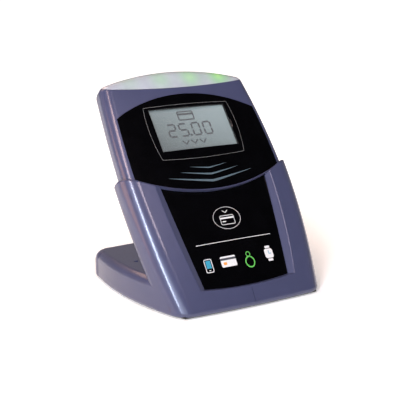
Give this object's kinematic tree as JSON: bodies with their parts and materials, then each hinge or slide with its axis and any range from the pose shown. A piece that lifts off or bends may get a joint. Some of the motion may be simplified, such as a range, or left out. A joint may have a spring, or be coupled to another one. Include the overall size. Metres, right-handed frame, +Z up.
{
  "type": "countertop contactless card reader",
  "caption": "Tap-to-pay card reader with a tilted display head and light bar that lifts out of the collar of a V-shaped weighted desk stand",
  "frame": {"origin": "Centre of the footprint's bounding box, on the plane that the rubber feet stand on", "axes": "+Z up, +Y towards the back of the foot, the display faces -Y and up, +X to the viewer's right"},
  "size_m": [0.1052, 0.0988, 0.1128],
  "materials": {
    "stand_paint": "satin-gloss paint on a plastic moulding",
    "reader_paint": "satin-gloss paint on a plastic moulding",
    "dark_plastic": "fine moulded texture",
    "rubber": "matt",
    "screw_steel": "zinc plated",
    "lower_panel": "gloss black with printed marks",
    "upper_panel": "gloss black with a printed frame and chevrons",
    "adhesive": "matt film",
    "board": "solder mask",
    "contact_gold": "gold plated",
    "flat_cable": "polyimide film",
    "ballast_steel": "raw plate",
    "socket_plastic": "moulded",
    "contact_steel": "nickel plated",
    "clear_lens": "clear",
    "lcd_glass": "grey-green reflective display",
    "white_plastic": "moulded",
    "light_guide": "clear acrylic with a white film",
    "light_bar": "translucent white",
    "led": "clear resin",
    "chip_plastic": "moulded",
    "tin_plate": "tin plated",
    "copper": "bare copper",
    "ferrite": "sintered sheet"
  },
  "bodies": {
    "stand": {"stand_front_cover": "stand_paint", "stand_rear_shell": "stand_paint", "foot_base_plate": "dark_plastic", "rubber_feet": "rubber", "base_screws": "screw_steel", "cover_screws": "screw_steel", "lower_window": "lower_panel", "lower_window_tape": "adhesive", "dock_board": "board", "dock_block": "dark_plastic", "dock_pins": "contact_gold", "dock_ribbon": "flat_cable", "ballast_plate": "ballast_steel", "socket_board": "board", "data_socket": "socket_plastic", "socket_contacts": "contact_gold", "power_jack": "socket_plastic", "power_jack_pin": "contact_steel"},
    "reader": {"reader_front_shell": "reader_paint", "reader_rear_shell": "reader_paint", "display_window": "upper_panel", "display_lens": "clear_lens", "display_window_tape": "adhesive", "lcd_glass": "lcd_glass", "lcd_frame": "white_plastic", "lcd_backlight": "light_guide", "lcd_ribbon": "flat_cable", "light_bar_lens": "light_bar", "led_board": "board", "status_leds": "led", "main_board": "board", "main_board_chips": "chip_plastic", "shield_can": "tin_plate", "buzzer": "chip_plastic", "antenna_board": "board", "antenna_coil": "copper", "ferrite_sheet": "ferrite", "pad_board": "board", "contact_pads": "contact_gold", "reader_ribbon": "flat_cable", "reader_screws": "screw_steel"}
  },
  "joints": [
    {"name": "reader_lift", "type": "slide", "parent": "stand", "child": "reader", "axis": [0, 0.6039, 0.7971], "range_m": [0, 0.07]}
  ]
}
